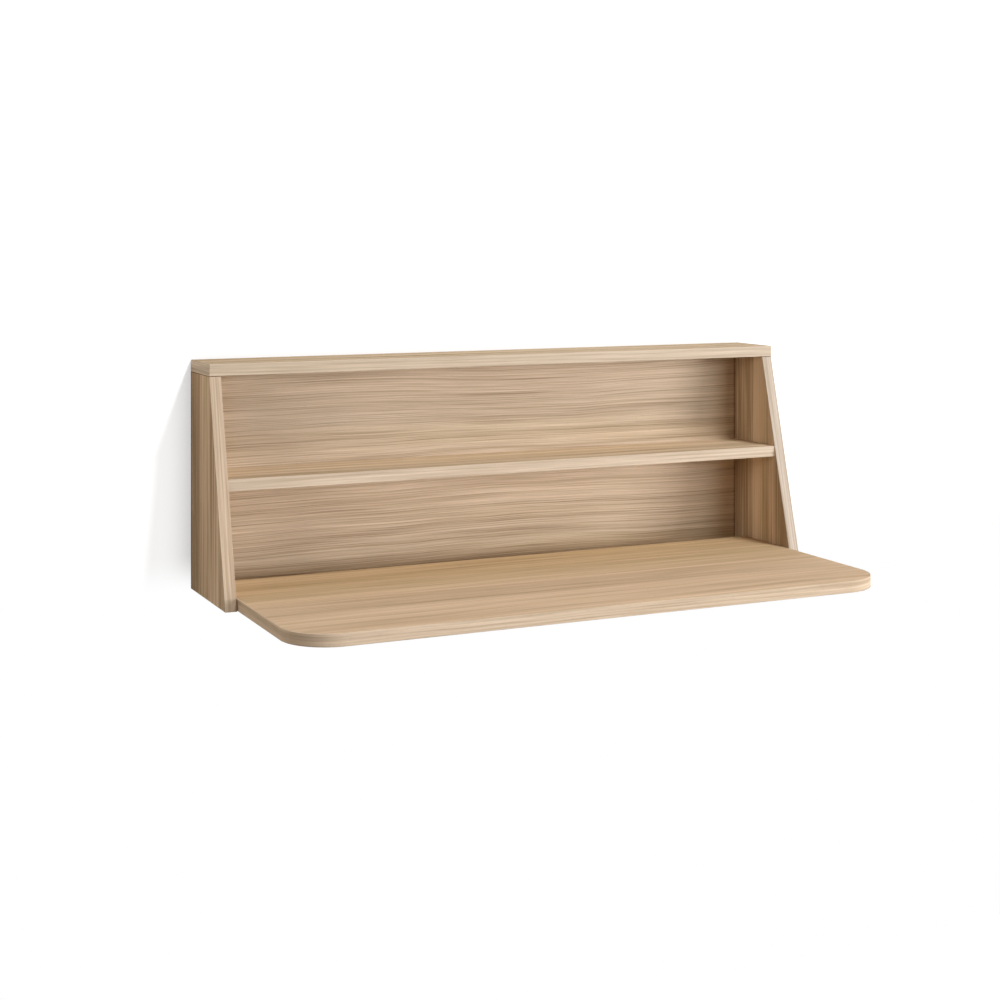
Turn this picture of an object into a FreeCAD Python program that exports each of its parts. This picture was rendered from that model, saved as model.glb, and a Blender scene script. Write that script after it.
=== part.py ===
import FreeCAD, Part
import math
import os

# A wall desk of banded boards. A shallow shelf cabinet hangs on the wall, and a leaf between its sides folds
# down to make the desk top. Millimetres. The origin lies on the wall plane, at the middle of the cabinet's
# width and height. +X is to the right as seen from the front, +Y runs into the wall and +Z is up.

# Overall sizes of the cabinet
WIDTH = 1000.0
HEIGHT = 355.0
TOP_DEPTH = 105.0
TOP_OVERHANG = 1.0
SIDE_BASE_DEPTH = 190.0

# Board thicknesses
TOP_THICKNESS = 18.0
SIDE_THICKNESS = 18.0
BACK_THICKNESS = 18.0
SHELF_THICKNESS = 18.0
LEAF_THICKNESS = 18.0

# Edge bands
BAND = 1.0
BAND_ARRIS = 0.6
LARGEST_ARRIS_IN_BAND = 0.8

# Shelf, measured up from the foot of the sides
SHELF_HEIGHT = 168.0
SHELF_SETBACK = 1.0

# Leaf
LEAF_DEPTH = 406.0
LEAF_REAR_GAP = 34.0
LEAF_SIDE_GAP = 1.2
LEAF_CORNER_RADIUS = 70.0

# Pivot of the leaf, measured back from the foot of the sides' front edge
PIVOT_SETBACK = 18.0
PIVOT_PIN_RADIUS = 3.0
PIVOT_PIN_IN_LEAF = 30.0
BUSH_WALL = 1.5
BUSH_FLANGE_RIM = 2.5
RUNNING_CLEARANCE = 0.05
LEAF_CLEARANCE = 0.3
PIN_END_CLEARANCE = 0.5

# Stop pins of the leaf, measured forward from its rear edge
STOP_SETBACK = 20.0
STOP_PIN_RADIUS = 3.0
STOP_PIN_IN_LEAF = 30.0
SLEEVE_WALL = 1.5
SEAT_WALL = 2.0
SEAT_FLOOR = 1.5

# Board left behind the blind holes in a face
FACE_SKIN = 6.0

# Dowels
DOWEL_RADIUS = 4.0
DOWEL_CHAMFER = 0.8
DOWEL_IN_EDGE = 23.0
DOWEL_END_CLEARANCE = 1.0
DOWEL_INSET = 25.0
BACK_DOWEL_FROM_CAM = 45.0

# Cam locks in the rear face of the back panel
CAM_RADIUS = 7.5
CAM_SKIN = 5.0
CAM_FROM_EDGE = 24.0
CAM_FROM_ENDS = 55.0
CAM_LOOSE_FIT = 0.25
CAM_RECESS_LENGTH = 9.0
CAM_RECESS_WIDTH = 1.6
CAM_RECESS_DEPTH = 2.0
TOP_CAM_FROM_SIDES = 180.0
BOLT_THREAD_RADIUS = 3.0
BOLT_SHANK_RADIUS = 2.2
BOLT_HEAD_RADIUS = 3.4
BOLT_HEAD_LENGTH = 2.6

# Screws from the back panel into the shelf, spread evenly between insets from the sides
SHELF_SCREW_FROM_SIDES = 122.0
SHELF_SCREW_COUNT = 4
SHELF_SCREW_RADIUS = 2.0
SHELF_SCREW_HEAD_RADIUS = 4.2
SHELF_SCREW_LENGTH = 50.0

# Keyhole plates that hang the cabinet, placed by their entry holes, in from the sides and the ends
HANGER_FROM_SIDES = 82.0
HANGER_FROM_ENDS = 82.5
HANGER_PLATE_RIM = 9.5
HANGER_PLATE_TAB = 16.0
HANGER_PLATE_THICKNESS = 2.0
HANGER_PLATE_CORNER = 4.0
HANGER_PLATE_FIT = 0.1
KEYHOLE_ENTRY_RADIUS = 5.5
KEYHOLE_NECK_RADIUS = 2.7
KEYHOLE_LENGTH = 14.0
KEYHOLE_POCKET_MARGIN = 2.0
KEYHOLE_POCKET_SKIN = 6.0
HANGER_SCREW_RADIUS = 1.75
HANGER_SCREW_HEAD_RADIUS = 3.4
HANGER_SCREW_SKIN = 4.0
HANGER_SCREW_FROM_END = 7.0

# Details shared by the screws
SCREW_LOOSE_FIT = 0.2
SCREW_RECESS_DEPTH = 1.2
SCREW_RECESS_WIDTH = 0.9
SCREW_RECESS_MARGIN = 1.5

# Levels and faces worked out from the sizes above
FOOT_Z = -HEIGHT / 2
CROWN_Z = HEIGHT / 2
TOP_UNDER_Z = CROWN_Z - TOP_THICKNESS
SIDE_HEIGHT = TOP_UNDER_Z - FOOT_Z
SIDE_TOP_DEPTH = TOP_DEPTH - TOP_OVERHANG
HALF_WIDTH = WIDTH / 2
INNER_HALF = HALF_WIDTH - SIDE_THICKNESS
SHELF_UNDER_Z = FOOT_Z + SHELF_HEIGHT
SHELF_TOP_Z = SHELF_UNDER_Z + SHELF_THICKNESS
SHELF_MID_Z = SHELF_UNDER_Z + SHELF_THICKNESS / 2
BACK_FRONT_Y = -BACK_THICKNESS
BACK_MID_Y = -BACK_THICKNESS / 2
LEAF_HALF = INNER_HALF - LEAF_SIDE_GAP
LEAF_REAR_Y = BACK_FRONT_Y - LEAF_REAR_GAP
LEAF_FRONT_Y = LEAF_REAR_Y - LEAF_DEPTH
LEAF_UNDER_Z = FOOT_Z
LEAF_TOP_Z = LEAF_UNDER_Z + LEAF_THICKNESS
LEAF_MID_Z = LEAF_UNDER_Z + LEAF_THICKNESS / 2
PIVOT_Y = PIVOT_SETBACK - SIDE_BASE_DEPTH
STOP_Y = LEAF_REAR_Y - STOP_SETBACK
SLANT_LENGTH = math.hypot(SIDE_HEIGHT, SIDE_BASE_DEPTH - SIDE_TOP_DEPTH)
BAND_ON_LEVEL = BAND * SLANT_LENGTH / SIDE_HEIGHT
BAND_TOP_Z = FOOT_Z + BAND
ARRIS = min(BAND_ARRIS, LARGEST_ARRIS_IN_BAND * BAND)
SIDE_HOLE_DEPTH = SIDE_THICKNESS - FACE_SKIN
TOP_HOLE_DEPTH = TOP_THICKNESS - FACE_SKIN

# Directions, and how near to parallel counts as parallel
PARALLEL = 1e-3
X_AXIS = FreeCAD.Vector(1, 0, 0)
Y_AXIS = FreeCAD.Vector(0, 1, 0)
Z_AXIS = FreeCAD.Vector(0, 0, 1)


def point(x, y, z):
    return FreeCAD.Vector(x, y, z)


def block(x_range, y_range, z_range):
    """A box between two values on each axis."""
    low = [min(pair) for pair in (x_range, y_range, z_range)]
    high = [max(pair) for pair in (x_range, y_range, z_range)]
    size = [b - a for a, b in zip(low, high)]
    return Part.makeBox(size[0], size[1], size[2], point(*low))


def rod(radius, start, end):
    """A round bar between two points."""
    along = end - start
    return Part.makeCylinder(radius, along.Length, start, along)


def cone(start_radius, end_radius, start, end):
    """A cone's frustum between two points."""
    along = end - start
    return Part.makeCone(start_radius, end_radius, along.Length, start, along)


def side_prism(outline, x_range):
    """An outline of (y, z) corners, carried along X."""
    low = min(x_range)
    corners = [point(low, y, z) for y, z in outline]
    face = Part.Face(Part.makePolygon(corners + corners[:1]))
    return face.extrude(point(max(x_range) - low, 0, 0))


def runs_along(edge, direction):
    """Whether a straight edge is parallel to a unit direction."""
    return edge.tangentAt(edge.FirstParameter).cross(direction).Length < PARALLEL


def ease(band, board, along=None):
    """Rounds the edges of a band that lie away from its board, or only those that run along a direction."""
    picked = []
    for edge in band.Edges:
        middle = edge.valueAt((edge.FirstParameter + edge.LastParameter) / 2)
        outer = board.distToShape(Part.Vertex(middle))[0] > BAND - ARRIS / 2
        if outer and (along is None or runs_along(edge, along)):
            picked.append(edge)
    return band.makeFillet(ARRIS, picked)


def cut(shape, tools):
    return shape.cut(tools) if tools else shape


def dowel(start, end):
    """A fluteless dowel with chamfered ends."""
    bar = rod(DOWEL_RADIUS, start, end)
    rims = [edge for edge in bar.Edges if edge.Closed and edge.Curve.TypeId == "Part::GeomCircle"]
    return bar.makeChamfer(DOWEL_CHAMFER, rims)


def dowel_joint(joint, way, hole_depth):
    """A dowel across a joint, its hole in the face that it enters, and its hole in the other board's edge."""
    end_play = way * DOWEL_END_CLEARANCE
    hole_end = joint + way * hole_depth
    edge_end = joint - way * DOWEL_IN_EDGE
    pin = dowel(edge_end, hole_end - end_play)
    face_hole = rod(DOWEL_RADIUS, joint, hole_end)
    edge_hole = rod(DOWEL_RADIUS, edge_end - end_play, joint)
    return pin, face_hole, edge_hole


def cross_recess(centre, reach):
    """A cross sunk into a screw's head that faces +Y."""
    depth = (centre.y - SCREW_RECESS_DEPTH, centre.y)
    half = SCREW_RECESS_WIDTH / 2
    wide = block((centre.x - reach, centre.x + reach), depth, (centre.z - half, centre.z + half))
    tall = block((centre.x - half, centre.x + half), depth, (centre.z - reach, centre.z + reach))
    return wide.fuse(tall)


def sunk_screw(x, z, radius, head_radius, length):
    """A countersunk screw driven in from the rear face, and the countersink for its head."""
    head = point(x, 0, z)
    neck = point(x, radius - head_radius, z)
    tip = point(x, -length, z)
    screw = cone(head_radius, radius, head, neck).fuse(rod(radius, neck, tip)).removeSplitter()
    screw = screw.cut(cross_recess(head, head_radius - SCREW_RECESS_MARGIN))
    sink = cone(head_radius + SCREW_LOOSE_FIT, radius + SCREW_LOOSE_FIT, head, neck)
    return screw, sink


# Cabinet outlines
def slant_y(z):
    """The slanted front of the sides at a given height."""
    return -SIDE_BASE_DEPTH + (SIDE_BASE_DEPTH - SIDE_TOP_DEPTH) * (z - FOOT_Z) / SIDE_HEIGHT


SHELF_FRONT_Y = slant_y(SHELF_TOP_Z) + SHELF_SETBACK


def side_board(x_range):
    return side_prism(
        [
            (0, BAND_TOP_Z),
            (0, TOP_UNDER_Z),
            (slant_y(TOP_UNDER_Z) + BAND_ON_LEVEL, TOP_UNDER_Z),
            (slant_y(BAND_TOP_Z) + BAND_ON_LEVEL, BAND_TOP_Z),
        ],
        x_range,
    )


def side_front_band(x_range):
    return side_prism(
        [
            (slant_y(FOOT_Z), FOOT_Z),
            (slant_y(TOP_UNDER_Z), TOP_UNDER_Z),
            (slant_y(TOP_UNDER_Z) + BAND_ON_LEVEL, TOP_UNDER_Z),
            (slant_y(FOOT_Z) + BAND_ON_LEVEL, FOOT_Z),
        ],
        x_range,
    )


def side_bottom_band(x_range):
    return side_prism(
        [
            (0, FOOT_Z),
            (0, BAND_TOP_Z),
            (slant_y(BAND_TOP_Z) + BAND_ON_LEVEL, BAND_TOP_Z),
            (slant_y(FOOT_Z) + BAND_ON_LEVEL, FOOT_Z),
        ],
        x_range,
    )


# Leaf outline
def leaf_blank(inset, rear_inset):
    """The leaf's slab with its rounded front corners, drawn in by an inset on its sides and front."""
    half = LEAF_HALF - inset
    front = LEAF_FRONT_Y + inset
    rear = LEAF_REAR_Y - rear_inset
    radius = LEAF_CORNER_RADIUS - inset
    diagonal = radius * (1 - math.sqrt(0.5))
    z = LEAF_UNDER_Z
    left_rear = point(-half, rear, z)
    left_side = point(-half, front + radius, z)
    left_corner = point(-half + diagonal, front + diagonal, z)
    left_front = point(-half + radius, front, z)
    right_front = point(half - radius, front, z)
    right_corner = point(half - diagonal, front + diagonal, z)
    right_side = point(half, front + radius, z)
    right_rear = point(half, rear, z)
    edges = [
        Part.makeLine(left_rear, left_side),
        Part.Arc(left_side, left_corner, left_front).toShape(),
        Part.makeLine(left_front, right_front),
        Part.Arc(right_front, right_corner, right_side).toShape(),
        Part.makeLine(right_side, right_rear),
        Part.makeLine(right_rear, left_rear),
    ]
    return Part.Face(Part.Wire(edges)).extrude(point(0, 0, LEAF_THICKNESS))


# Cam fittings, drawn about a joint with the bolt along +X and the rear face of the board on the +Y side
CAM_DEPTH = BACK_THICKNESS - CAM_SKIN
CAM_REAR = BACK_THICKNESS / 2
CAM_FRONT = CAM_REAR - CAM_DEPTH
LOW_CAM_Z = FOOT_Z + CAM_FROM_ENDS
HIGH_CAM_Z = TOP_UNDER_Z - CAM_FROM_ENDS


def cam_bolt(thread_length):
    head_start = -CAM_FROM_EDGE
    head_end = head_start + BOLT_HEAD_LENGTH
    head = rod(BOLT_HEAD_RADIUS, point(head_start, 0, 0), point(head_end, 0, 0))
    shank = rod(BOLT_SHANK_RADIUS, point(head_end, 0, 0), point(0, 0, 0))
    thread = rod(BOLT_THREAD_RADIUS, point(0, 0, 0), point(thread_length, 0, 0))
    return head.fuse([shank, thread]).removeSplitter()


def cam_lock():
    body = rod(CAM_RADIUS, point(-CAM_FROM_EDGE, CAM_FRONT, 0), point(-CAM_FROM_EDGE, CAM_REAR, 0))
    head_room = BOLT_HEAD_RADIUS + CAM_LOOSE_FIT
    neck_room = BOLT_SHANK_RADIUS + CAM_LOOSE_FIT
    head_start = -CAM_FROM_EDGE - CAM_LOOSE_FIT
    head_end = head_start + BOLT_HEAD_LENGTH + 2 * CAM_LOOSE_FIT
    cavity = block((head_start, head_end), (CAM_FRONT, head_room), (-head_room, head_room))
    mouth = block((head_end, -CAM_FROM_EDGE + CAM_RADIUS), (CAM_FRONT, neck_room), (-neck_room, neck_room))
    recess_x = (-CAM_FROM_EDGE - CAM_RECESS_LENGTH / 2, -CAM_FROM_EDGE + CAM_RECESS_LENGTH / 2)
    recess_y = (CAM_REAR - CAM_RECESS_DEPTH, CAM_REAR)
    recess = block(recess_x, recess_y, (-CAM_RECESS_WIDTH / 2, CAM_RECESS_WIDTH / 2))
    return body.cut([cavity, mouth, recess])


def cam_joint(joint, turn, thread_length):
    """A cam fitting at a joint, turned about Y: lock, bolt, hole for its thread, cuts in the back panel."""
    place = FreeCAD.Placement(joint, FreeCAD.Rotation(Y_AXIS, turn))
    centre = point(-CAM_FROM_EDGE, 0, 0)
    pocket = rod(CAM_RADIUS, centre + Y_AXIS * CAM_FRONT, centre + Y_AXIS * CAM_REAR)
    bore = rod(BOLT_HEAD_RADIUS + CAM_LOOSE_FIT, centre, point(0, 0, 0))
    hole = rod(BOLT_THREAD_RADIUS, point(0, 0, 0), point(thread_length, 0, 0))
    shapes = [cam_lock(), cam_bolt(thread_length), hole, pocket, bore]
    for shape in shapes:
        shape.transformShape(place.toMatrix())
    return shapes[0], shapes[1], shapes[2], shapes[3:]


# Keyhole plates
POCKET_RADIUS = KEYHOLE_ENTRY_RADIUS + KEYHOLE_POCKET_MARGIN
HANGER_PLATE_WIDTH = 2 * (POCKET_RADIUS + HANGER_PLATE_RIM)
HANGER_PLATE_LENGTH = KEYHOLE_LENGTH + 2 * (POCKET_RADIUS + HANGER_PLATE_TAB)
HANGER_SCREW_LENGTH = BACK_THICKNESS - HANGER_SCREW_SKIN


def obround(radius, low_z, high_z, x, y_range):
    """A slot with round ends, standing upright in the rear face."""
    ends = [rod(radius, point(x, min(y_range), z), point(x, max(y_range), z)) for z in (low_z, high_z)]
    middle = block((x - radius, x + radius), y_range, (low_z, high_z))
    return ends[0].fuse([ends[1], middle]).removeSplitter()


def rounded_plate(x, z, width, length, corner, y_range):
    plate = block((x - width / 2, x + width / 2), y_range, (z - length / 2, z + length / 2))
    return plate.makeFillet(corner, [edge for edge in plate.Edges if runs_along(edge, Y_AXIS)])


def hanger(x, z):
    """A keyhole plate whose entry hole is at x, z: plate, screws and the cuts in the back panel."""
    middle_z = z + KEYHOLE_LENGTH / 2
    face = (-HANGER_PLATE_THICKNESS, 0)
    plate = rounded_plate(x, middle_z, HANGER_PLATE_WIDTH, HANGER_PLATE_LENGTH, HANGER_PLATE_CORNER, face)
    entry = rod(KEYHOLE_ENTRY_RADIUS, point(x, face[0], z), point(x, 0, z))
    neck = obround(KEYHOLE_NECK_RADIUS, z, z + KEYHOLE_LENGTH, x, face)
    screws = []
    sinks = []
    pilots = []
    for way in (-1, 1):
        screw_z = middle_z + way * (HANGER_PLATE_LENGTH / 2 - HANGER_SCREW_FROM_END)
        screw, sink = sunk_screw(
            x, screw_z, HANGER_SCREW_RADIUS, HANGER_SCREW_HEAD_RADIUS, HANGER_SCREW_LENGTH
        )
        head = point(x, 0, screw_z)
        through = rod(HANGER_SCREW_RADIUS + SCREW_LOOSE_FIT, point(x, face[0], screw_z), head)
        screws.append(screw)
        sinks += [sink, through]
        pilots.append(rod(HANGER_SCREW_RADIUS, point(x, -HANGER_SCREW_LENGTH, screw_z), head))
    plate = plate.cut([entry, neck] + sinks)
    seat = rounded_plate(
        x,
        middle_z,
        HANGER_PLATE_WIDTH + 2 * HANGER_PLATE_FIT,
        HANGER_PLATE_LENGTH + 2 * HANGER_PLATE_FIT,
        HANGER_PLATE_CORNER + HANGER_PLATE_FIT,
        face,
    )
    pocket_y = (KEYHOLE_POCKET_SKIN - BACK_THICKNESS, 0)
    pocket = obround(POCKET_RADIUS, z, z + KEYHOLE_LENGTH, x, pocket_y)
    return plate, screws, [seat, pocket] + pilots


# Pivot and stop fittings, for the side with the given sign of X
def on_side(sign, depth):
    """X at a depth into a side panel from its inner face."""
    return sign * (INNER_HALF + depth)


def in_leaf(sign, depth):
    """X at a depth into the leaf from its side edge."""
    return sign * (LEAF_HALF - depth)


BUSH_BORE_RADIUS = PIVOT_PIN_RADIUS + RUNNING_CLEARANCE
BUSH_RADIUS = BUSH_BORE_RADIUS + BUSH_WALL
BUSH_FLANGE_THICKNESS = LEAF_SIDE_GAP - LEAF_CLEARANCE
SLEEVE_RADIUS = STOP_PIN_RADIUS + SLEEVE_WALL
SLOT_RADIUS = SLEEVE_RADIUS + LEAF_CLEARANCE
SLOT_DEPTH = SIDE_HOLE_DEPTH - SEAT_FLOOR


def pivot_fittings(sign):
    """Pivot pin, bush, the bush's bore in the side panel and the pin's bore in the leaf."""
    centre = point(0, PIVOT_Y, LEAF_MID_Z)
    face = centre + X_AXIS * on_side(sign, 0)
    flange_end = centre + X_AXIS * on_side(sign, -BUSH_FLANGE_THICKNESS)
    bush_end = centre + X_AXIS * on_side(sign, SIDE_HOLE_DEPTH)
    pin_tip = centre + X_AXIS * on_side(sign, SIDE_HOLE_DEPTH - PIN_END_CLEARANCE)
    pin_root = centre + X_AXIS * in_leaf(sign, PIVOT_PIN_IN_LEAF)
    leaf_edge = centre + X_AXIS * in_leaf(sign, 0)
    pin = rod(PIVOT_PIN_RADIUS, pin_root, pin_tip)
    flange = rod(BUSH_RADIUS + BUSH_FLANGE_RIM, flange_end, face)
    bush = flange.fuse(rod(BUSH_RADIUS, face, bush_end)).removeSplitter()
    bush = bush.cut(rod(BUSH_BORE_RADIUS, flange_end, bush_end))
    bore = rod(BUSH_RADIUS, face, bush_end)
    leaf_bore = rod(PIVOT_PIN_RADIUS, pin_root, leaf_edge)
    return pin, bush, bore, leaf_bore


def stop_relief():
    """How far the stop pin swings forward while it drops out of its seat."""
    lever = abs(STOP_Y - PIVOT_Y)
    drop = min(lever, LEAF_MID_Z - FOOT_Z + SLOT_RADIUS)
    return lever - math.sqrt(lever**2 - drop**2)


def seat_outline(radius, x_range):
    """A slot open at the foot of the side, with a round upper end as wide as the pin's swing needs."""
    rear_y = STOP_Y
    front_y = STOP_Y - stop_relief()
    low, high = min(x_range), max(x_range)
    ends = [rod(radius, point(low, y, LEAF_MID_Z), point(high, y, LEAF_MID_Z)) for y in (rear_y, front_y)]
    crown = block(x_range, (front_y, rear_y), (LEAF_MID_Z, LEAF_MID_Z + radius))
    shaft = block(x_range, (front_y - radius, rear_y + radius), (FOOT_Z, LEAF_MID_Z))
    return ends[0].fuse([ends[1], crown, shaft]).removeSplitter()


def stop_fittings(sign):
    """Stop pin, sleeve, seat, the seat's cut in the side panel and the pin's bore in the leaf."""
    centre = point(0, STOP_Y, LEAF_MID_Z)
    root = centre + X_AXIS * in_leaf(sign, STOP_PIN_IN_LEAF)
    leaf_edge = centre + X_AXIS * in_leaf(sign, 0)
    tip = centre + X_AXIS * on_side(sign, SLOT_DEPTH - LEAF_CLEARANCE)
    face_x = on_side(sign, 0)
    slot_x = (face_x, on_side(sign, SLOT_DEPTH))
    seat_x = (face_x, on_side(sign, SIDE_HOLE_DEPTH))
    pin = rod(STOP_PIN_RADIUS, root, tip)
    sleeve_start = centre + X_AXIS * face_x
    sleeve = rod(SLEEVE_RADIUS, sleeve_start, tip).cut(rod(STOP_PIN_RADIUS, sleeve_start, tip))
    seat_cut = seat_outline(SLOT_RADIUS + SEAT_WALL, seat_x)
    seat = seat_cut.cut(seat_outline(SLOT_RADIUS, slot_x))
    leaf_bore = rod(STOP_PIN_RADIUS, root, leaf_edge)
    return pin, sleeve, seat, seat_cut, leaf_bore


# Everything is collected here by node name
pieces = {}
side_cuts = {"left": [], "right": []}
top_cuts = []
back_cuts = []
shelf_cuts = []
leaf_cuts = []
signs = {"left": -1, "right": 1}

# Pivots and stops
for name, sign in signs.items():
    pin, bush, bore, leaf_bore = pivot_fittings(sign)
    pieces[name + "_pivot_pin"] = pin
    pieces[name + "_pivot_bush"] = bush
    side_cuts[name].append(bore)
    leaf_cuts.append(leaf_bore)
    pin, sleeve, seat, seat_cut, leaf_bore = stop_fittings(sign)
    pieces[name + "_stop_pin"] = pin
    pieces[name + "_stop_sleeve"] = sleeve
    pieces[name + "_stop_seat"] = seat
    side_cuts[name].append(seat_cut)
    leaf_cuts.append(leaf_bore)

# Dowels between the boards
top_dowels = []
shelf_dowels = []
back_dowels = []
for name, sign in signs.items():
    side_mid = sign * (HALF_WIDTH - SIDE_THICKNESS / 2)
    outward = X_AXIS * sign
    for y in (-DOWEL_INSET, -SIDE_TOP_DEPTH + DOWEL_INSET):
        pin, face_hole, edge_hole = dowel_joint(point(side_mid, y, TOP_UNDER_Z), Z_AXIS, TOP_HOLE_DEPTH)
        top_dowels.append(pin)
        top_cuts.append(face_hole)
        side_cuts[name].append(edge_hole)
    for y in (BACK_FRONT_Y - DOWEL_INSET, SHELF_FRONT_Y + DOWEL_INSET):
        joint = point(sign * INNER_HALF, y, SHELF_MID_Z)
        pin, face_hole, edge_hole = dowel_joint(joint, outward, SIDE_HOLE_DEPTH)
        shelf_dowels.append(pin)
        side_cuts[name].append(face_hole)
        shelf_cuts.append(edge_hole)
    for z in (LOW_CAM_Z + BACK_DOWEL_FROM_CAM, HIGH_CAM_Z - BACK_DOWEL_FROM_CAM):
        joint = point(sign * INNER_HALF, BACK_MID_Y, z)
        pin, face_hole, edge_hole = dowel_joint(joint, outward, SIDE_HOLE_DEPTH)
        back_dowels.append(pin)
        side_cuts[name].append(face_hole)
        back_cuts.append(edge_hole)
pieces["top_dowels"] = Part.makeCompound(top_dowels)
pieces["shelf_dowels"] = Part.makeCompound(shelf_dowels)
pieces["back_dowels"] = Part.makeCompound(back_dowels)

# Cam fittings between the back panel and the sides and top
cam_locks = []
cam_bolts = []
for name, sign in signs.items():
    turn = 0 if sign > 0 else 180
    for z in (LOW_CAM_Z, HIGH_CAM_Z):
        joint = point(sign * INNER_HALF, BACK_MID_Y, z)
        lock, bolt, hole, cuts = cam_joint(joint, turn, SIDE_HOLE_DEPTH)
        cam_locks.append(lock)
        cam_bolts.append(bolt)
        side_cuts[name].append(hole)
        back_cuts += cuts
for step in (-1, 0, 1):
    joint = point(step * (INNER_HALF - TOP_CAM_FROM_SIDES), BACK_MID_Y, TOP_UNDER_Z)
    lock, bolt, hole, cuts = cam_joint(joint, -90, TOP_HOLE_DEPTH)
    cam_locks.append(lock)
    cam_bolts.append(bolt)
    top_cuts.append(hole)
    back_cuts += cuts
pieces["cam_locks"] = Part.makeCompound(cam_locks)
pieces["cam_bolts"] = Part.makeCompound(cam_bolts)

# Screws into the shelf
shelf_screws = []
screw_span = 2 * (INNER_HALF - SHELF_SCREW_FROM_SIDES)
for index in range(SHELF_SCREW_COUNT):
    x = screw_span * (index / (SHELF_SCREW_COUNT - 1) - 0.5)
    screw, sink = sunk_screw(
        x, SHELF_MID_Z, SHELF_SCREW_RADIUS, SHELF_SCREW_HEAD_RADIUS, SHELF_SCREW_LENGTH
    )
    shelf_screws.append(screw)
    head = point(x, 0, SHELF_MID_Z)
    joint = point(x, BACK_FRONT_Y, SHELF_MID_Z)
    tip = point(x, -SHELF_SCREW_LENGTH, SHELF_MID_Z)
    back_cuts += [sink, rod(SHELF_SCREW_RADIUS + SCREW_LOOSE_FIT, joint, head)]
    shelf_cuts.append(rod(SHELF_SCREW_RADIUS, tip, joint))
pieces["shelf_screws"] = Part.makeCompound(shelf_screws)

# Keyhole plates
hanger_plates = []
hanger_screws = []
hanger_x = INNER_HALF - HANGER_FROM_SIDES
hanger_z = HEIGHT / 2 - HANGER_FROM_ENDS
for x in (-hanger_x, hanger_x):
    for z in (-hanger_z, hanger_z):
        plate, screws, cuts = hanger(x, z)
        hanger_plates.append(plate)
        hanger_screws += screws
        back_cuts += cuts
pieces["hanger_plates"] = Part.makeCompound(hanger_plates)
pieces["hanger_screws"] = Part.makeCompound(hanger_screws)

# Top panel and its bands
top_core_x = (-HALF_WIDTH + BAND, HALF_WIDTH - BAND)
top_z = (TOP_UNDER_Z, CROWN_Z)
top_core_y = (-TOP_DEPTH + BAND, 0)
top_core = block(top_core_x, top_core_y, top_z)
pieces["top_panel"] = cut(top_core, top_cuts)
front_band = block((-HALF_WIDTH, HALF_WIDTH), (-TOP_DEPTH, -TOP_DEPTH + BAND), top_z)
front_backing = block((-HALF_WIDTH, HALF_WIDTH), top_core_y, top_z)
pieces["top_front_band"] = ease(front_band, front_backing)
for name, sign in signs.items():
    end_band = block((sign * HALF_WIDTH, sign * (HALF_WIDTH - BAND)), top_core_y, top_z)
    pieces["top_" + name + "_band"] = ease(end_band, top_core, Y_AXIS)

# Side panels and their bands
slant_way = point(0, slant_y(TOP_UNDER_Z) - slant_y(FOOT_Z), SIDE_HEIGHT).normalize()
for name, sign in signs.items():
    side_x = (sign * INNER_HALF, sign * HALF_WIDTH)
    board = side_board(side_x)
    pieces[name + "_side_panel"] = cut(board, side_cuts[name])
    pieces[name + "_side_front_band"] = ease(side_front_band(side_x), board, slant_way)
    bottom_band = ease(side_bottom_band(side_x), board, Y_AXIS)
    pieces[name + "_side_bottom_band"] = cut(bottom_band, side_cuts[name])

# Back panel and its band
back_x = (-INNER_HALF, INNER_HALF)
back_y = (BACK_FRONT_Y, 0)
back_core = block(back_x, back_y, (BAND_TOP_Z, TOP_UNDER_Z))
pieces["back_panel"] = cut(back_core, back_cuts)
pieces["back_bottom_band"] = ease(block(back_x, back_y, (FOOT_Z, BAND_TOP_Z)), back_core, X_AXIS)

# Shelf and its band
shelf_z = (SHELF_UNDER_Z, SHELF_TOP_Z)
shelf_core = block(back_x, (BACK_FRONT_Y, SHELF_FRONT_Y + BAND), shelf_z)
pieces["shelf"] = cut(shelf_core, shelf_cuts)
shelf_band = block(back_x, (SHELF_FRONT_Y, SHELF_FRONT_Y + BAND), shelf_z)
pieces["shelf_front_band"] = ease(shelf_band, shelf_core, X_AXIS)

# Leaf and its bands
leaf_core = leaf_blank(BAND, BAND)
leaf_inner = leaf_blank(BAND, 0)
leaf_round_band = ease(leaf_blank(0, 0).cut(leaf_inner), leaf_inner)
leaf_rear_band = block(
    (-LEAF_HALF + BAND, LEAF_HALF - BAND), (LEAF_REAR_Y, LEAF_REAR_Y - BAND), (LEAF_UNDER_Z, LEAF_TOP_Z)
)
pieces["desk_leaf"] = cut(leaf_core, leaf_cuts)
pieces["leaf_edge_band"] = cut(leaf_round_band, leaf_cuts)
pieces["leaf_rear_band"] = ease(leaf_rear_band, leaf_core, X_AXIS)

# One file for each node
os.makedirs("parts", exist_ok=True)
for name, shape in pieces.items():
    if not shape.isValid():
        raise ValueError(name + " is not a valid solid")
    shape.exportStep("parts/" + name + ".step")
    print(name, len(shape.Solids), round(shape.Volume, 1))
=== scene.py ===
import math

import bpy
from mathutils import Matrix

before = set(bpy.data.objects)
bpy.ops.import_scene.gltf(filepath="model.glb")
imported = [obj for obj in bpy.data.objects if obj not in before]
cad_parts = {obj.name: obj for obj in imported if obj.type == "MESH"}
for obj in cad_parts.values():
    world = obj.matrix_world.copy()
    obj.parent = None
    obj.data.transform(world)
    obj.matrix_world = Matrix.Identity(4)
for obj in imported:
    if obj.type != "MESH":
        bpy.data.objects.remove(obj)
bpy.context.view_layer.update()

# Camera, level and turned to the right, with its frame lowered
CAMERA_PLACE = (-1.21067, -2.65674, 0.37607)
CAMERA_YAW = 25.01
CAMERA_LENS = 62.88
CAMERA_SENSOR = 36.0
CAMERA_LOWERED = -0.2684

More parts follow.
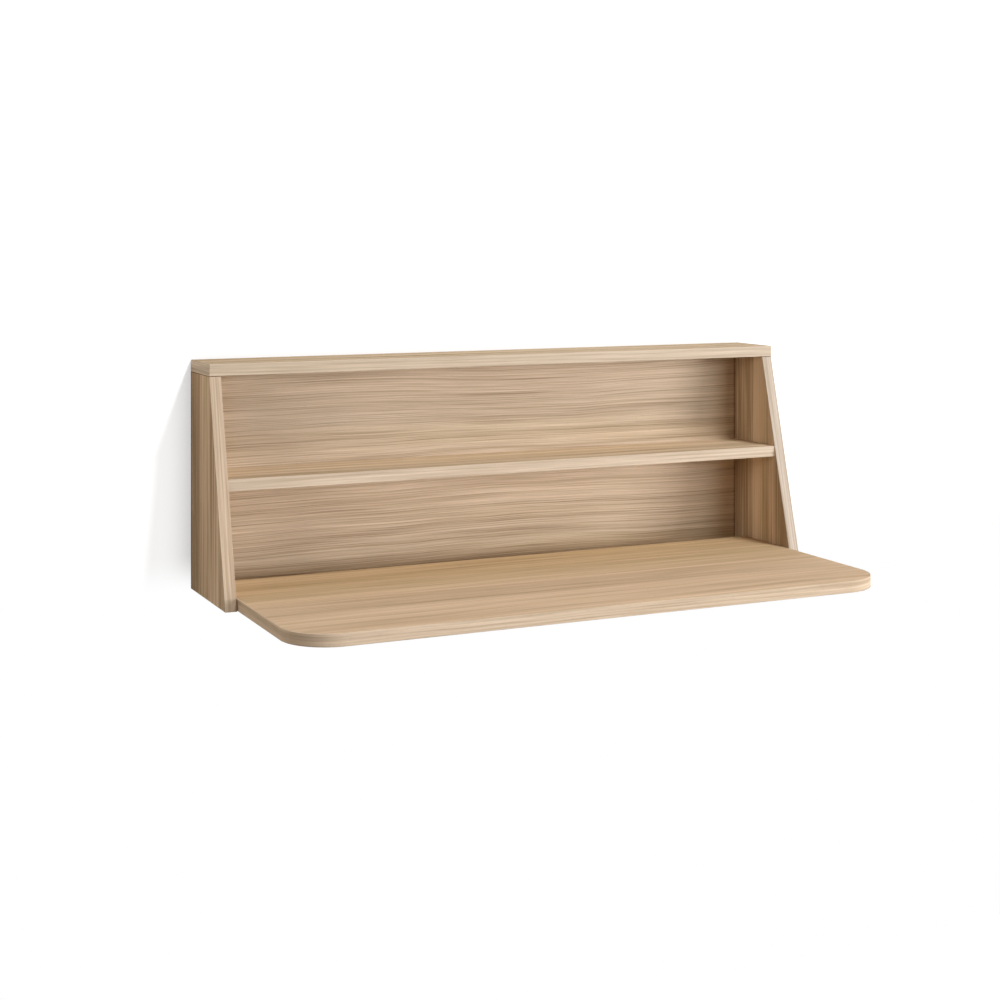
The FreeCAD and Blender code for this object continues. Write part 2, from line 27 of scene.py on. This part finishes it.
# Lamps by direction from the desk, in degrees: azimuth to the right of straight ahead, and height above
# level. Distances and sizes are in metres. A lamp of level 1 shows a colour that faces it about as written
AIM = (0.0, -0.15, 0.0)
WHITE = (1.0, 1.0, 1.0)
WARM = (1.0, 0.92, 0.84)
LAMPS = {
    "key": {"azimuth": 50, "height": -1, "distance": 4.0, "width": 1.6, "tall": 0.55, "level": 0.62},
    "front": {"azimuth": 27, "height": 10, "distance": 4.0, "width": 1.6, "tall": 0.6, "level": 0.31},
    "left": {"azimuth": -65, "height": 10, "distance": 4.0, "width": 2.0, "tall": 1.0, "level": 0.24},
    "overhead": {"azimuth": 25, "height": 57, "distance": 8.0, "width": 2.0, "tall": 0.3, "level": 0.55},
    "wall": {"azimuth": 25, "height": 52.5, "distance": 8.0, "width": 0.9, "tall": 0.5, "level": 1.40},
    "rear": {"azimuth": 180, "height": 8, "distance": 4.0, "width": 3.0, "tall": 2.0, "level": 0.90},
}
LAMP_TINTS = {"left": WARM}
WALL_LAMP = "wall"
UNMIRRORED_LAMP = "rear"

# Strength of the soft light from all round, straight below and straight above
AMBIENT = (0.0, 0.04)

# Floor and wall have one colour for the light that they throw back, and for the eye another with a white
# glow. The floor's fade is given by distances from the desk, and the wall's by heights
FLOOR_Z = -0.95
FLOOR_HALF = 8.0
FLOOR_COLOUR = (0.10, 0.10, 0.10)
FLOOR_SHOWN = (0.45, 0.45, 0.44)
FLOOR_SPECK = 0.03
FLOOR_SPECK_SCALE = (3.0, 3.0, 3.0)
FLOOR_SPECK_NOISE = (2.0, 0.5)
FLOOR_ROUGHNESS = 0.9
FLOOR_GLOW = 0.84
FLOOR_FADE = (1.5, 3.5)
WALL_Y = 0.002
WALL_HALF = 2.2
WALL_COLOUR = (0.88, 0.81, 0.72)
WALL_SHOWN = (0.40, 0.40, 0.40)
WALL_ROUGHNESS = 1.0
WALL_GLOW = 0.856
WALL_FADE = (-0.12, -0.185)
WALL_WINDOW_X = 0.498
WALL_WINDOW_Z = 0.1755

# Painted shade on the wall close to the desk: how deep, from how far off and how steeply it grows
PAINTED_CONTACT_SHADE = 0.95
CONTACT_REACH = 0.050
CONTACT_POWER = 1.5
CONTACT_SAMPLES = 16

# Oak by board, as the mean colour of its grain. The boards are of one oak; their means differ partly as
# painted light and shade, each set lighter or darker to offset how light falls on that board
OAK_BACK = (206, 187, 165)
OAK_LEAF = (211, 185, 156)
OAK_SHELF = (214, 191, 161)
OAK_TOP = (195, 174, 147)
OAK_LEFT_SIDE = (210, 185, 155)
OAK_RIGHT_SIDE = (204, 179, 149)
OAK_EDGE = (208, 191, 171)
OAK_LEAF_EDGE = (214, 192, 167)
OAK_LEFT_FRONT = (205, 184, 161)
OAK_RIGHT_FRONT = (195, 181, 167)
BEECH = (214, 184, 150)

# Grain by board: how much its lines wander, its lines and bands per metre, the bands' share and the contrast
LEVEL_GRAIN = {"waviness": 1.0, "lines": 260, "bands": 50, "band_share": 0.5, "contrast": 1.0}
LEAF_GRAIN = {"waviness": 0.6, "lines": 240, "bands": 42, "band_share": 0.5, "contrast": 0.7}
BACK_GRAIN = {"waviness": 0.75, "lines": 640, "bands": 80, "band_share": 0.35, "contrast": 1.0}
LEFT_GRAIN = {"waviness": 0.1, "lines": 240, "bands": 20, "band_share": 0.5, "contrast": 1.5}
RIGHT_GRAIN = {"waviness": 0.1, "lines": 420, "bands": 20, "band_share": 0.5, "contrast": 1.6}
EDGING = {"waviness": 0.2, "lines": 320, "bands": 60, "band_share": 0.15, "contrast": 0.65}
LEVEL_EDGING = {**EDGING, "contrast": 0.45}
DOWEL_GRAIN = {"waviness": 0.1, "lines": 600, "bands": 70, "band_share": 0.35, "contrast": 1.4}

# Layers of the grain. Scales are in features per metre: along the grain, across it, and into the board.
# Each layer's noise is given by its detail and its roughness
NOISE_MEAN = 0.5
FLOW_SCALE = (2.6, 5.0, 3.0)
FLOW_NOISE = (2.0, 0.4)
LINE_ALONG = 3.6
LINE_NOISE = (2.0, 0.6)
BAND_ALONG = 0.9
BAND_NOISE = (2.0, 0.5)
GRAIN_DEPTH = 2.0
HUE_SCALE = (0.6, 22.0, 5.0)
HUE_NOISE = (1.0, 0.5)
STREAK_SCALE = (14.0, 1100.0, 30.0)
STREAK_NOISE = (3.0, 0.6)
PORE_SCALE = (75.0, 2600.0, 2600.0)
PORE_NOISE = (2.0, 0.5)

# How far the lines wander, in metres, and how far apart two boards with seeds one apart lie in the noise
WANDER = 0.03
SEED_STEP = (1.37, 2.11, 0.73)

# Tones of the grain against the mean colour, from dark to pale, with where each lies on its layer
GRAIN_TONES = (
    (0.34, (0.60, 0.55, 0.50)),
    (0.45, (0.86, 0.84, 0.81)),
    (0.53, (1.03, 1.03, 1.03)),
    (0.66, (1.24, 1.27, 1.31)),
)
STREAK_TONES = (
    (0.32, (0.88, 0.87, 0.86)),
    (0.66, (1.04, 1.04, 1.04)),
)
YELLOW_TINT = (1.00, 0.99, 0.86)
YELLOW_RANGE = (0.50, 0.70)
YELLOW_SHARE = 0.35
PINK_TINT = (1.03, 0.97, 0.97)
PINK_RANGE = (0.50, 0.30)
PINK_SHARE = 0.06
PORE_TONE = (0.45, 0.38, 0.31)
PORE_RANGE = (0.36, 0.28)
PORE_SHARE = 0.35

# Surface of the oak
OAK_SHEEN = 0.03
OAK_ROUGHNESS = (0.74, 0.64)
OAK_ROUGHNESS_RANGE = (0.35, 0.62)
PORE_ROUGHNESS = 0.12
STREAK_RELIEF = 0.35
OAK_BUMP = 0.25
OAK_BUMP_DEPTH = 0.00012

# Bare core of the boards, shown where a face turns away from the veneered ones
CORE_TURN = (0.7, 0.4)
CORE_ROUGHNESS = 0.25
CHIP_SCALE = (260.0, 260.0, 520.0)
CHIP_SHARE = 0.7
FIBRE_SCALE = (900.0, 900.0, 1400.0)
FIBRE_NOISE = (3.0, 0.6)
FIBRE_SHARE = 0.3
CHIP_TONES = (
    (0.15, (132, 100, 66)),
    (0.45, (178, 146, 104)),
    (0.75, (206, 178, 136)),
)

# Places on the desk where a board's tone changes, and what it changes to: the dark joint line under the top,
# and painted shade and a painted reflection elsewhere. The fades under the top and at the back panel's ends
# and foot are distances off those places. Those at the rear of sides and leaf lie on y
TOP_JOINT = 0.1595
BACK_END = 0.482
BACK_FOOT = -0.1775
SEAM_TONE = (0.30, 0.24, 0.18)
SEAM_FADE = (0.0016, 0.0004)
# Painted shade in the corners where the back panel meets the sides, also used at the sides' rear by the wall
CORNER_SHADE_TONE = (0.50, 0.42, 0.34)
CORNER_SHADE_FADE = (0.0050, 0.0006)
# Painted shade on the back panel's foot, above the gap behind the leaf
FOOT_SHADE_TONE = (0.86, 0.75, 0.63)
FOOT_SHADE_FADE = (0.045, 0.006)
# Painted shade toward the back panel's ends, where the sides shade it
END_SHADE_TONE = (0.94, 0.87, 0.79)
END_SHADE_FADE = (0.060, 0.0)
# Painted shade at the sides' rear, close to the wall
SIDE_REAR_SHADE = (-0.012, -0.001)
# Painted warm reflection of the back panel on the leaf's rear
LEAF_REFLECTION_FADE = (-0.30, -0.14)

# Fittings. Noise reaches about as far as the two values named so
NOISE_REACH = (0.3, 0.7)
FINE_BUMP_DEPTH = 0.00005
STEEL_DARK = (168, 171, 175)
STEEL_PALE = (204, 205, 204)
STEEL_ROUGHNESS = (0.28, 0.46)
MOTTLE_SCALE = (420.0, 420.0, 420.0)
MOTTLE_NOISE = (3.0, 0.6)
SCRATCH_SCALE = (180.0, 900.0, 4200.0)
SCRATCH_NOISE = (2.0, 0.5)
SCRATCH_BUMP = 0.15
CLOUD_SCALE = (130.0, 130.0, 130.0)
CLOUD_NOISE = (3.0, 0.6)
PIT_NOISE = (2.0, 0.5)
PIT_BUMP = 0.2
NYLON = {"dark": (206, 203, 194), "pale": (224, 221, 213), "roughness": (0.38, 0.55), "pits": 1500.0}
RUBBER = {"dark": (38, 37, 36), "pale": (58, 56, 54), "roughness": (0.62, 0.82), "pits": 1100.0}

# Names that the node trees use
AXES = {"x": 0, "y": 1, "z": 2}
RANGE_ENDS = ("From Min", "From Max", "To Min", "To Max")
EYE_RAYS = ("Is Camera Ray", "Is Glossy Ray", "Is Transmission Ray")


def from_srgb(red, green, blue):
    """A linear colour from 0 to 255 values, by the sRGB curve."""
    values = []
    for level in (red, green, blue):
        part = level / 255
        values.append(part / 12.92 if part <= 0.04045 else ((part + 0.055) / 1.055) ** 2.4)
    return (*values, 1.0)


def tinted(colour, tint):
    """A linear colour times a tint."""
    return (*[level * share for level, share in zip(colour, tint)], 1.0)


def scaled(along, across, along_scale, across_scale, depth_scale):
    """Scales for the three axes of a board, by the directions of its grain."""
    scales = [depth_scale] * 3
    scales[AXES[along]] = along_scale
    scales[AXES[across]] = across_scale
    return tuple(scales)


def unit(axis):
    """A vector of length one along an axis."""
    return tuple(1.0 if index == AXES[axis] else 0.0 for index in range(3))


class Graph:
    """A node tree, with short ways to add the nodes used here."""

    def __init__(self, owner):
        owner.use_nodes = True
        self.tree = owner.node_tree
        self.place = self.add("ShaderNodeTexCoord")

    def add(self, kind, **settings):
        node = self.tree.nodes.new(kind)
        for key, value in settings.items():
            setattr(node, key, value)
        return node

    def feed(self, socket, value):
        """Links a socket to a node's output, or sets it to a constant."""
        if isinstance(value, bpy.types.NodeSocket):
            self.tree.links.new(value, socket)
        else:
            socket.default_value = value

    def math(self, operation, first, second=0.0):
        node = self.add("ShaderNodeMath", operation=operation)
        self.feed(node.inputs[0], first)
        self.feed(node.inputs[1], second)
        return node.outputs[0]

    def vector(self, operation, first, second):
        node = self.add("ShaderNodeVectorMath", operation=operation)
        self.feed(node.inputs[0], first)
        self.feed(node.inputs[1], second)
        return node.outputs[0]

    def split(self, vector):
        """The three parts of a vector."""
        node = self.add("ShaderNodeSeparateXYZ")
        self.feed(node.inputs[0], vector)
        return node.outputs

    def spread(self, value, low, high, to_low=0.0, to_high=1.0, easing="SMOOTHSTEP"):
        """A value carried from one range to another and held at the ends."""
        node = self.add("ShaderNodeMapRange", interpolation_type=easing)
        self.feed(node.inputs["Value"], value)
        for name, number in zip(RANGE_ENDS, (low, high, to_low, to_high)):
            node.inputs[name].default_value = number
        return node.outputs[0]

    def noise(self, place, scales, detail, roughness):
        """Noise with its own scale on each axis."""
        node = self.add("ShaderNodeTexNoise")
        self.feed(node.inputs["Vector"], self.vector("MULTIPLY", place, scales))
        node.inputs["Scale"].default_value = 1.0
        node.inputs["Detail"].default_value = detail
        node.inputs["Roughness"].default_value = roughness
        return node.outputs[0]

    def ramp(self, value, stops):
        """A colour for a value, from stops of a position and a colour each."""
        node = self.add("ShaderNodeValToRGB")
        points = node.color_ramp.elements
        while len(points) < len(stops):
            points.new(0.5)
        for element, (position, colour) in zip(points, stops):
            element.position = position
            element.color = colour
        self.feed(node.inputs[0], value)
        return node.outputs[0]

    def mix(self, factor, first, second, blend="MIX"):
        node = self.add("ShaderNodeMix", data_type="RGBA", blend_type=blend)
        self.feed(node.inputs["Factor"], factor)
        self.feed(node.inputs["A"], first)
        self.feed(node.inputs["B"], second)
        return node.outputs["Result"]

    def tint(self, share, colour, tint):
        """A colour that takes a tint by a share."""
        return self.mix(share, colour, self.mix(1.0, colour, (*tint, 1.0), "MULTIPLY"))

    def blend(self, share, first, second):
        """A shader that gives way to another by a share."""
        node = self.add("ShaderNodeMixShader")
        for socket, value in zip(node.inputs, (share, first, second)):
            self.feed(socket, value)
        return node.outputs[0]

    def eye(self):
        """One on a ray from the camera, or one that reaches the eye by gloss or glass."""
        path = self.add("ShaderNodeLightPath")
        found = path.outputs[EYE_RAYS[0]]
        for name in EYE_RAYS[1:]:
            found = self.math("MAXIMUM", found, path.outputs[name])
        return found


class Finish(Graph):
    """A material's node tree, with its main shader."""

    def __init__(self, name):
        self.material = bpy.data.materials.new(name)
        super().__init__(self.material)
        self.shader = self.tree.nodes["Principled BSDF"]
        self.output = self.tree.nodes["Material Output"]

    def dress(self, values):
        """Feeds the main shader's sockets by name."""
        for name, value in values.items():
            self.feed(self.shader.inputs[name], value)

    def bump(self, height, strength, depth):
        node = self.add("ShaderNodeBump")
        node.inputs["Strength"].default_value = strength
        node.inputs["Distance"].default_value = depth
        self.feed(node.inputs["Height"], height)
        self.feed(self.shader.inputs["Normal"], node.outputs[0])


def core_chips(graph):
    """The pressed wood chips inside a board, for its bare edges and bores."""
    here = graph.place.outputs["Object"]
    cells = graph.add("ShaderNodeTexVoronoi", feature="F1")
    graph.feed(cells.inputs["Vector"], graph.vector("MULTIPLY", here, CHIP_SCALE))
    cells.inputs["Scale"].default_value = 1.0
    fibre = graph.noise(here, FIBRE_SCALE, *FIBRE_NOISE)
    chip_part = graph.math("MULTIPLY", cells.outputs["Color"], CHIP_SHARE)
    fibre_part = graph.math("MULTIPLY", fibre, FIBRE_SHARE)
    stops = [(place, from_srgb(*tone)) for place, tone in CHIP_TONES]
    return graph.ramp(graph.math("ADD", chip_part, fibre_part), stops)


def oak(
    name, along, across, mean, seed,
    waviness, lines, bands, band_share, contrast, fades=(), face=None,
):
    """Straight-grained oak. The grain runs along one axis and its lines are spaced across another.

    fades are an axis, a start, an end and a tint each: the board takes the tint by degrees between the two.
    face is the axis that the veneered faces look along; other faces are bare core. With no face given, the
    grain covers every face.
    """
    graph = Finish(name)
    mean = from_srgb(*mean)
    here = graph.place.outputs["Object"]
    position = graph.vector("ADD", here, tuple(seed * step for step in SEED_STEP))
    flow = graph.noise(position, scaled(along, across, *FLOW_SCALE), *FLOW_NOISE)
    drift = graph.math("MULTIPLY", graph.math("SUBTRACT", flow, NOISE_MEAN), WANDER * waviness)
    push = graph.add("ShaderNodeVectorMath", operation="SCALE")
    push.inputs[0].default_value = unit(across)
    graph.feed(push.inputs["Scale"], drift)
    bent = graph.vector("ADD", position, push.outputs[0])

    def layer(scales, noise):
        return graph.noise(bent, scaled(along, across, *scales), *noise)

    rings = layer((LINE_ALONG, lines, GRAIN_DEPTH), LINE_NOISE)
    broad = layer((BAND_ALONG, bands, GRAIN_DEPTH), BAND_NOISE)
    hue = layer(HUE_SCALE, HUE_NOISE)
    streak = layer(STREAK_SCALE, STREAK_NOISE)
    pore = layer(PORE_SCALE, PORE_NOISE)

    ring_part = graph.math("MULTIPLY", rings, 1 - band_share)
    band_part = graph.math("MULTIPLY", broad, band_share)
    line = graph.math("SUBTRACT", graph.math("ADD", ring_part, band_part), NOISE_MEAN)
    line = graph.math("ADD", NOISE_MEAN, graph.math("MULTIPLY", line, contrast))
    colour = graph.ramp(line, [(place, tinted(mean, tone)) for place, tone in GRAIN_TONES])
    colour = graph.tint(graph.spread(hue, *YELLOW_RANGE, 0.0, YELLOW_SHARE), colour, YELLOW_TINT)
    colour = graph.tint(graph.spread(hue, *PINK_RANGE, 0.0, PINK_SHARE), colour, PINK_TINT)
    fine = graph.ramp(streak, [(place, (*tone, 1.0)) for place, tone in STREAK_TONES])
    colour = graph.mix(1.0, colour, fine, "MULTIPLY")
    dash = graph.spread(pore, *PORE_RANGE)
    colour = graph.mix(graph.math("MULTIPLY", dash, PORE_SHARE), colour, tinted(mean, PORE_TONE))
    rough = graph.spread(line, *OAK_ROUGHNESS_RANGE, *OAK_ROUGHNESS)
    rough = graph.math("ADD", rough, graph.math("MULTIPLY", dash, PORE_ROUGHNESS))
    height = graph.math("SUBTRACT", graph.math("MULTIPLY", streak, STREAK_RELIEF), dash)

    spot = graph.split(here)
    for axis, start, end, tint in fades:
        colour = graph.tint(graph.spread(spot[AXES[axis]], start, end), colour, tint)
    if face is not None:
        facing = graph.split(graph.place.outputs["Normal"])
        toward = graph.math("ABSOLUTE", facing[AXES[face]])
        bare = graph.spread(toward, *CORE_TURN)
        colour = graph.mix(bare, colour, core_chips(graph))
        rough = graph.math("ADD", rough, graph.math("MULTIPLY", bare, CORE_ROUGHNESS))
    graph.dress({"Base Color": colour, "Roughness": rough, "Specular IOR Level": OAK_SHEEN})
    graph.bump(height, OAK_BUMP, OAK_BUMP_DEPTH)
    return graph.material


def mottled(graph, value, dark, pale):
    """A colour that wanders between a dark and a pale one."""
    tones = (from_srgb(*dark), from_srgb(*pale))
    return graph.ramp(value, list(zip(NOISE_REACH, tones)))


def steel(name):
    """Zinc-plated steel, faintly mottled, with fine scratches."""
    graph = Finish(name)
    here = graph.place.outputs["Object"]
    mottle = graph.noise(here, MOTTLE_SCALE, *MOTTLE_NOISE)
    scratch = graph.noise(here, SCRATCH_SCALE, *SCRATCH_NOISE)
    colour = mottled(graph, mottle, STEEL_DARK, STEEL_PALE)
    rough = graph.spread(scratch, *NOISE_REACH, *STEEL_ROUGHNESS)
    graph.dress({"Base Color": colour, "Roughness": rough, "Metallic": 1.0})
    graph.bump(scratch, SCRATCH_BUMP, FINE_BUMP_DEPTH)
    return graph.material


def plastic(name, dark, pale, roughness, pits):
    """A moulded piece with a fine eroded texture, of so many pits per metre."""
    graph = Finish(name)
    here = graph.place.outputs["Object"]
    cloud = graph.noise(here, CLOUD_SCALE, *CLOUD_NOISE)
    texture = graph.noise(here, (pits, pits, pits), *PIT_NOISE)
    rough = graph.spread(texture, *NOISE_REACH, *roughness)
    graph.dress({"Base Color": mottled(graph, cloud, dark, pale), "Roughness": rough})
    graph.bump(texture, PIT_BUMP, FINE_BUMP_DEPTH)
    return graph.material


def toward_place(axis, place, way, fade, tint):
    """A fade that grows toward a place on a board, in the direction that way gives as a sign."""
    start, end = fade
    return (axis, place - way * start, place - way * end, tint)


# Fades: the dark joint line under the top; painted shade at the sides' rear by the wall; a painted warm
# reflection of the back panel on the leaf's yellower rear; and painted shade on the back panel's foot, at
# its ends and in its corners
top_seam = toward_place("z", TOP_JOINT, 1, SEAM_FADE, SEAM_TONE)
side_fades = [top_seam, ("y", *SIDE_REAR_SHADE, CORNER_SHADE_TONE)]
leaf_reflection_fades = [("y", *LEAF_REFLECTION_FADE, YELLOW_TINT)]
back_fades = [toward_place("z", BACK_FOOT, -1, FOOT_SHADE_FADE, FOOT_SHADE_TONE)]
for way in (-1, 1):
    back_fades.append(toward_place("x", way * BACK_END, way, END_SHADE_FADE, END_SHADE_TONE))
    back_fades.append(toward_place("x", way * BACK_END, way, CORNER_SHADE_FADE, CORNER_SHADE_TONE))

# Finishes by node: first those of one node each, then those that several share
looks = {
    "top_panel": oak("oak_top", "x", "y", OAK_TOP, seed=1.0, face="z", **LEVEL_GRAIN),
    "shelf": oak("oak_shelf", "x", "y", OAK_SHELF, seed=4.0, face="z", **LEVEL_GRAIN),
    "desk_leaf": oak("oak_leaf", "x", "y", OAK_LEAF, seed=7.0, fades=leaf_reflection_fades, face="z", **LEAF_GRAIN),
    "back_panel": oak("oak_back", "x", "z", OAK_BACK, seed=10.0, fades=back_fades, face="y", **BACK_GRAIN),
    "left_side_panel": oak(
        "oak_left_side", "z", "y", OAK_LEFT_SIDE, seed=24.61, fades=side_fades, face="x", **LEFT_GRAIN
    ),
    "right_side_panel": oak(
        "oak_right_side", "z", "y", OAK_RIGHT_SIDE, seed=18.46, fades=side_fades, face="x", **RIGHT_GRAIN
    ),
    "left_side_front_band": oak(
        "oak_left_band", "z", "x", OAK_LEFT_FRONT, seed=30.37, fades=[top_seam], **EDGING
    ),
    "right_side_front_band": oak(
        "oak_right_band", "z", "x", OAK_RIGHT_FRONT, seed=29.87, fades=[top_seam], **EDGING
    ),
    "back_bottom_band": oak("oak_back_foot_band", "x", "y", OAK_EDGE, seed=34.0, **EDGING),
}
level_band = oak("oak_level_band", "x", "z", OAK_EDGE, seed=19.0, **LEVEL_EDGING)
leaf_band = oak("oak_leaf_band", "x", "z", OAK_LEAF_EDGE, seed=25.39, **EDGING)
end_band = oak("oak_end_band", "y", "z", OAK_EDGE, seed=25.0, **EDGING)
foot_band = oak("oak_foot_band", "y", "x", OAK_EDGE, seed=31.0, **EDGING)
beech = oak("beech", "x", "z", BEECH, seed=37.0, **DOWEL_GRAIN)
zinc = steel("zinc_plated_steel")
nylon = plastic("nylon", **NYLON)
rubber = plastic("sleeve_rubber", **RUBBER)
for node in ("top_front_band", "shelf_front_band"):
    looks[node] = level_band
for node in ("leaf_edge_band", "leaf_rear_band"):
    looks[node] = leaf_band
for node in ("top_dowels", "shelf_dowels", "back_dowels"):
    looks[node] = beech
for node in ("cam_locks", "cam_bolts", "shelf_screws", "hanger_plates", "hanger_screws"):
    looks[node] = zinc
for side in ("left", "right"):
    looks["top_" + side + "_band"] = end_band
    looks[side + "_side_bottom_band"] = foot_band
    looks[side + "_pivot_pin"] = zinc
    looks[side + "_stop_pin"] = zinc
    looks[side + "_pivot_bush"] = nylon
    looks[side + "_stop_seat"] = nylon
    looks[side + "_stop_sleeve"] = rubber

for name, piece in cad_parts.items():
    piece.data.materials.clear()
    piece.data.materials.append(looks[name])


# Stage
def sheet(name, corners):
    """A flat piece of the stage with four corners."""
    mesh = bpy.data.meshes.new(name)
    mesh.from_pydata(corners, [], [(0, 1, 2, 3)])
    piece = bpy.data.objects.new(name, mesh)
    bpy.context.scene.collection.objects.link(piece)
    return piece


def chalk(graph, tone, roughness, glow):
    """Dresses a dull surface that also glows white."""
    graph.dress(
        {
            "Base Color": tone,
            "Roughness": roughness,
            "Specular IOR Level": 0.0,
            "Emission Color": (*WHITE, 1.0),
            "Emission Strength": glow,
        }
    )


# The floor grows whiter to the eye with the distance from the desk
floor = sheet(
    "floor",
    [
        (-FLOOR_HALF, -FLOOR_HALF, FLOOR_Z),
        (FLOOR_HALF, -FLOOR_HALF, FLOOR_Z),
        (FLOOR_HALF, FLOOR_HALF, FLOOR_Z),
        (-FLOOR_HALF, FLOOR_HALF, FLOOR_Z),
    ],
)
floor_graph = Finish("pale_floor")
floor_here = floor_graph.place.outputs["Object"]
floor_eye = floor_graph.eye()
floor_speck = floor_graph.noise(floor_here, FLOOR_SPECK_SCALE, *FLOOR_SPECK_NOISE)
floor_paler = [level + FLOOR_SPECK for level in FLOOR_SHOWN]
floor_shown = floor_graph.mix(floor_speck, (*FLOOR_SHOWN, 1.0), (*floor_paler, 1.0))
floor_tone = floor_graph.mix(floor_eye, (*FLOOR_COLOUR, 1.0), floor_shown)
floor_reach = floor_graph.add("ShaderNodeVectorMath", operation="LENGTH")
floor_graph.feed(floor_reach.inputs[0], floor_here)
floor_glow = floor_graph.spread(floor_reach.outputs["Value"], *FLOOR_FADE, FLOOR_GLOW, 1.0)
chalk(floor_graph, floor_tone, FLOOR_ROUGHNESS, floor_graph.math("MULTIPLY", floor_eye, floor_glow))
floor.data.materials.append(floor_graph.material)

# The wall takes the desk's shadow, carries painted shade close to the desk and throws light back. It is open
# behind the desk and clear from behind, so that the rear lamp reaches the desk's back. Below the desk it
# shows white
wall = sheet(
    "wall",
    [
        (-WALL_HALF, WALL_Y, FLOOR_Z),
        (WALL_HALF, WALL_Y, FLOOR_Z),
        (WALL_HALF, WALL_Y, WALL_HALF),
        (-WALL_HALF, WALL_Y, WALL_HALF),
    ],
)
wall_graph = Finish("white_wall")
wall_spot = wall_graph.split(wall_graph.place.outputs["Object"])
wall_eye = wall_graph.eye()
wall_tone = wall_graph.mix(wall_eye, (*WALL_COLOUR, 1.0), (*WALL_SHOWN, 1.0))
# Painted shade: the wall's glow to the eye darkens where the desk hides it, within the reach given
wall_near = wall_graph.add("ShaderNodeAmbientOcclusion", samples=CONTACT_SAMPLES)
wall_near.inputs["Distance"].default_value = CONTACT_REACH
wall_hidden = wall_graph.math("SUBTRACT", 1.0, wall_near.outputs["AO"])
wall_hidden = wall_graph.math("POWER", wall_hidden, CONTACT_POWER)
wall_painted_shade = wall_graph.math("SUBTRACT", 1.0, wall_graph.math("MULTIPLY", wall_hidden, PAINTED_CONTACT_SHADE))
wall_glow = wall_graph.math("MULTIPLY", wall_painted_shade, WALL_GLOW)
chalk(wall_graph, wall_tone, WALL_ROUGHNESS, wall_graph.math("MULTIPLY", wall_eye, wall_glow))
wall_low = wall_graph.math("MULTIPLY", wall_graph.spread(wall_spot["Z"], *WALL_FADE), wall_eye)
wall_white = wall_graph.add("ShaderNodeEmission")
wall_seen = wall_graph.blend(wall_low, wall_graph.shader.outputs[0], wall_white.outputs[0])
wall_inside_x = wall_graph.math("LESS_THAN", wall_graph.math("ABSOLUTE", wall_spot["X"]), WALL_WINDOW_X)
wall_inside_z = wall_graph.math("LESS_THAN", wall_graph.math("ABSOLUTE", wall_spot["Z"]), WALL_WINDOW_Z)
wall_inside = wall_graph.math("MULTIPLY", wall_inside_x, wall_inside_z)
wall_side = wall_graph.add("ShaderNodeNewGeometry")
wall_open = wall_graph.math("MAXIMUM", wall_inside, wall_side.outputs["Backfacing"])
wall_clear = wall_graph.add("ShaderNodeBsdfTransparent")
wall_surface = wall_graph.blend(wall_open, wall_seen, wall_clear.outputs[0])
wall_graph.feed(wall_graph.output.inputs["Surface"], wall_surface)
wall.data.materials.append(wall_graph.material)

# World: white to the eye and in reflections, and a soft light from all round that is stronger from above
world = bpy.data.worlds.new("studio")
bpy.context.scene.world = world
sky = Graph(world)
sky_spot = sky.split(sky.place.outputs["Generated"])
sky_ambient = sky.tree.nodes["Background"]
sky_white = sky.add("ShaderNodeBackground")
for background in (sky_ambient, sky_white):
    background.inputs["Color"].default_value = (*WHITE, 1.0)
sky.feed(sky_ambient.inputs["Strength"], sky.spread(sky_spot["Z"], -1.0, 1.0, *AMBIENT, easing="LINEAR"))
sky_seen = sky.blend(sky.eye(), sky_ambient.outputs[0], sky_white.outputs[0])
sky.feed(sky.tree.nodes["World Output"].inputs["Surface"], sky_seen)

# Lamps. The wall has one of its own, and the others are kept off it
wall_lit = bpy.data.collections.new("wall_lit")
wall_lit.objects.link(wall)
wall_unlit = bpy.data.collections.new("wall_unlit")
wall_unlit.objects.link(wall)
wall_unlit.collection_objects[0].light_linking.link_state = "EXCLUDE"
for name, lamp in LAMPS.items():
    light = bpy.data.lights.new(name, "AREA")
    light.shape = "RECTANGLE"
    light.color = LAMP_TINTS.get(name, WHITE)
    light.size = lamp["width"]
    light.size_y = lamp["tall"]
    light.energy = lamp["level"] * (math.pi * lamp["distance"]) ** 2
    azimuth = math.radians(lamp["azimuth"])
    height = math.radians(lamp["height"])
    ahead = lamp["distance"] * math.cos(height)
    holder = bpy.data.objects.new(name, light)
    holder.location = (
        AIM[0] + ahead * math.sin(azimuth),
        AIM[1] - ahead * math.cos(azimuth),
        AIM[2] + lamp["distance"] * math.sin(height),
    )
    holder.rotation_euler = (math.pi / 2 - height, 0.0, azimuth)
    holder.visible_camera = False
    holder.visible_glossy = name != UNMIRRORED_LAMP
    holder.light_linking.receiver_collection = wall_lit if name == WALL_LAMP else wall_unlit
    bpy.context.scene.collection.objects.link(holder)

# Camera
lens = bpy.data.cameras.new("camera")
lens.lens = CAMERA_LENS
lens.sensor_width = CAMERA_SENSOR
lens.shift_y = CAMERA_LOWERED
camera = bpy.data.objects.new("camera", lens)
camera.location = CAMERA_PLACE
camera.rotation_euler = (math.pi / 2, 0.0, -math.radians(CAMERA_YAW))
bpy.context.scene.collection.objects.link(camera)
bpy.context.scene.camera = camera
bpy.context.scene.view_settings.view_transform = "Standard"
